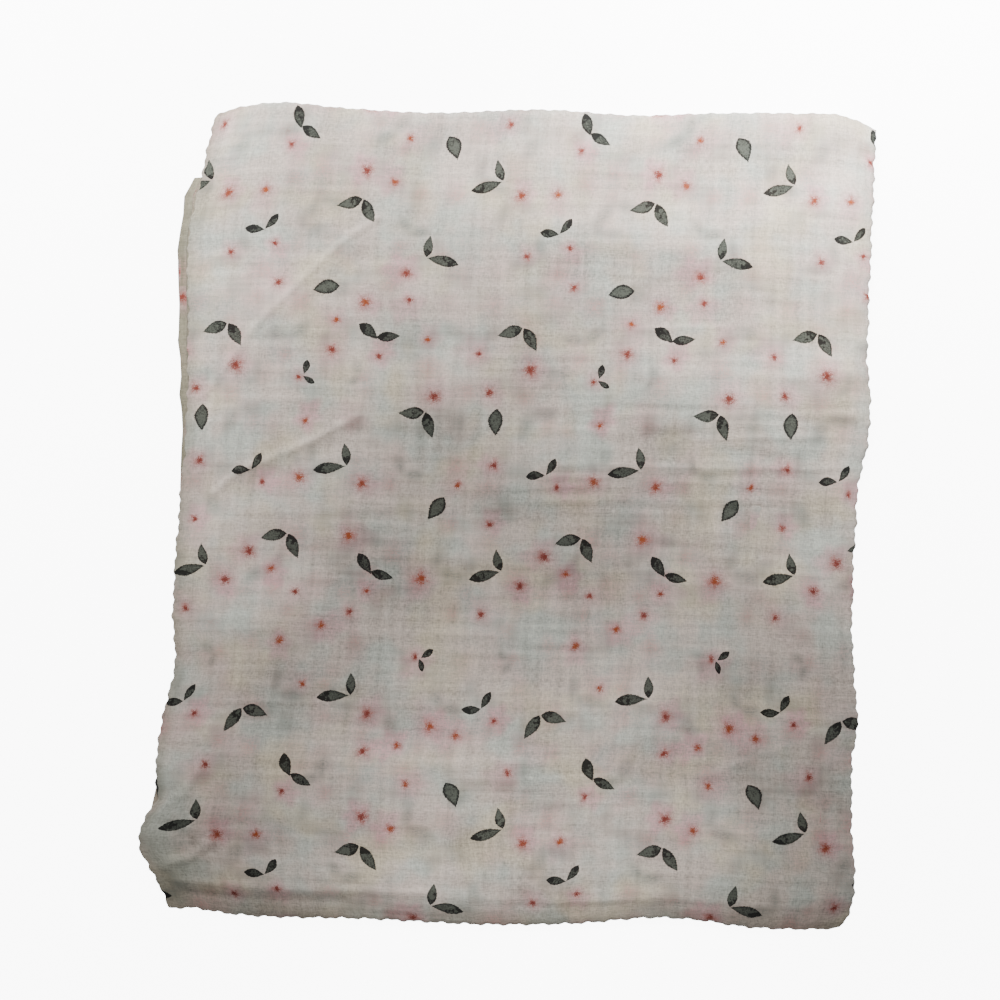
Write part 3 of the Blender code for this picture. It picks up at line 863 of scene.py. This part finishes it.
def muslinMaterial():
    material = bpy.data.materials.new("printedMuslin")
    material.use_nodes = True
    tree = material.node_tree
    shader = tree.nodes["Principled BSDF"]
    clothPlace = addNode(tree, "ShaderNodeUVMap", uv_map="clothPlace").outputs["UV"]
    gauze = placeGroup(tree, gauzeGroup(), {"Cloth": clothPlace})
    underPrintAndShade = attribute(tree, "under")
    parts = addNode(tree, "ShaderNodeSeparateColor", links={"Color": underPrintAndShade["Color"]})
    green, red, petals = parts.outputs
    petals = sums(tree, "MULTIPLY", petals, ramp(tree, gauze["Specks"], 0.35, 1.40, 0.75, 1.15))
    petals = sums(tree, "MULTIPLY", petals, muslin["petalStrength"], clamp=True)
    red = sums(tree, "MULTIPLY", red, gauze["Specks"])
    red = sums(tree, "MULTIPLY", red, muslin["underRedStrength"])
    green = sums(tree, "MULTIPLY", green, gauze["Specks"])
    green = sums(tree, "MULTIPLY", green, muslin["underGreenStrength"])
    coolPatches = ramp(tree, noise(tree, clothPlace, 42.0), 0.40, 0.66)
    warmPatches = ramp(tree, noise(tree, clothPlace, 31.0), 0.46, 0.70)
    colour = mixColour(tree, coolPatches, muslin["ground"], muslin["cool"])
    colour = mixColour(tree, warmPatches, colour, muslin["warm"])
    colour = mixColour(tree, petals, colour, muslin["petal"])
    # painted shade beside the left and lower folds and in the lower left corner
    colour = mixColour(tree, underPrintAndShade["Alpha"], colour, muslin["shade"])
    colour = mixColour(tree, red, colour, muslin["underRed"])
    colour = mixColour(tree, green, colour, muslin["underGreen"])
    flowerInk, leafInk = flowerInkGroup(), leafInkGroup()
    bloom = attribute(tree, "bloom")
    flower = placeGroup(tree, flowerInk,
                        {"Place": bloom["Vector"], "Seed": bloom["Alpha"], "Cloth": clothPlace})
    colour = mixColour(tree, flower["Halo"], colour, muslin["petal"])
    # painted light on ridges and painted shade in troughs, on top of the weave's tone
    tone = sums(tree, "MULTIPLY_ADD", attribute(tree, "crest")["Fac"], muslin["crestLightAndShade"], gauze["Tone"])
    colour = mixColour(tree, 1.0, colour, tone, "MULTIPLY")
    ring = sums(tree, "MULTIPLY", flower["Ray"], muslin["rayStrength"])
    colour = mixColour(tree, ring, colour, muslin["ray"])
    core = mixColour(tree, flower["Orange"], muslin["coreBrick"], muslin["coreOrange"])
    colour = mixColour(tree, sums(tree, "MULTIPLY", flower["Core"], muslin["coreStrength"]), colour, core)
    for name in ("leafA", "leafB"):
        leafPlace = attribute(tree, name)
        leaf = placeGroup(tree, leafInk,
                          {"Place": leafPlace["Vector"], "Seed": leafPlace["Alpha"], "Cloth": clothPlace})
        ink = mixColour(tree, leaf["Dark"], muslin["leafLight"], muslin["leafDark"])
        covered = sums(tree, "MULTIPLY", leaf["Mask"], muslin["leafStrength"])
        colour = mixColour(tree, covered, colour, ink)
    tree.links.new(colour, shader.inputs["Base Color"])
    bump = addNode(tree, "ShaderNodeBump", {"Strength": muslin["bump"], "Distance": muslin["bumpHeight"]},
                   {"Height": gauze["Height"]})
    tree.links.new(bump.outputs["Normal"], shader.inputs["Normal"])
    shader.inputs["Roughness"].default_value = muslin["roughness"]
    shader.inputs["Specular IOR Level"].default_value = muslin["shine"]
    shader.inputs["Sheen Weight"].default_value = muslin["sheen"]
    return material


sheet.data.materials.append(muslinMaterial())
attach(sheet, "root")
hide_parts("blanket")
print("muslin printed")


stage = {
    "floorSize": 4.0,
    "floorColour": (0.90, 0.90, 0.90),
    "floorGlow": 9.0,         # seen by the camera only, so the floor looks white without lighting the cloth
    "sky": 0.235,
    "lamps": [                # name, place, place it is turned to, size, power
        ("keyLight", (-0.200, 0.420, 0.42), (-0.500, 0.517, 0.0), 0.30, 7.7),
        ("rightLight", (0.117, 0.361, 0.36), (0.537, 0.554, 0.0), 0.25, 8.9),
    ],
    # a soft pool of light over the lower part of the cloth
    "spot": {"place": (-0.060, 0.250, 0.50),
             "target": (0.027, -0.222, 0.0), "cone": 0.455, "size": 0.05, "power": 13.8},
    "cameraHeight": 0.92,     # above the top of the cloth
    "viewWidth": 0.4925,      # metres across the picture at the top of the cloth
    "cameraAim": (-0.0036, 0.0083),
}


def makeStage():
    bpy.ops.mesh.primitive_plane_add(size=stage["floorSize"], location=(0, 0, 0))
    floor = bpy.context.active_object
    floor.name = "floor"
    floor.data.materials.append(bpy.data.materials.new("paleFloor"))
    floor.data.materials[0].use_nodes = True
    tree = floor.data.materials[0].node_tree
    shader = tree.nodes["Principled BSDF"]
    shader.inputs["Base Color"].default_value = (*stage["floorColour"], 1.0)
    shader.inputs["Roughness"].default_value = 0.9
    shader.inputs["Emission Color"].default_value = (1.0, 1.0, 1.0, 1.0)
    seen = tree.nodes.new("ShaderNodeLightPath").outputs["Is Camera Ray"]
    tree.links.new(sums(tree, "MULTIPLY", seen, stage["floorGlow"]), shader.inputs["Emission Strength"])
    world = bpy.data.worlds.new("softRoom")
    world.use_nodes = True
    bpy.context.scene.world = world
    world.node_tree.nodes["Background"].inputs["Color"].default_value = (1.0, 1.0, 1.0, 1.0)
    world.node_tree.nodes["Background"].inputs["Strength"].default_value = stage["sky"]


def addLamp(kind, name, place, target, power):
    turn = (Vector(target) - Vector(place)).to_track_quat("-Z", "Y").to_euler()
    bpy.ops.object.light_add(type=kind, location=place, rotation=turn)
    lamp = bpy.context.active_object
    lamp.name = name
    lamp.data.energy = power
    return lamp


def makeLamps():
    for name, place, target, size, power in stage["lamps"]:
        lamp = addLamp("AREA", name, place, target, power)
        lamp.data.size = size
        lamp.visible_camera = False
    spot = stage["spot"]
    lamp = addLamp("SPOT", "lowerLight", spot["place"], spot["target"], spot["power"])
    lamp.data.spot_size = spot["cone"]
    lamp.data.spot_blend = 1.0
    lamp.data.shadow_soft_size = spot["size"]


def makeCamera():
    place = (*stage["cameraAim"], cadHigh.z + stage["cameraHeight"])
    bpy.ops.object.camera_add(location=place, rotation=(0, 0, 0))
    camera = bpy.context.active_object
    camera.data.lens = camera.data.sensor_width * stage["cameraHeight"] / stage["viewWidth"]
    bpy.context.scene.camera = camera


makeStage()
makeLamps()
makeCamera()
print("stage set")
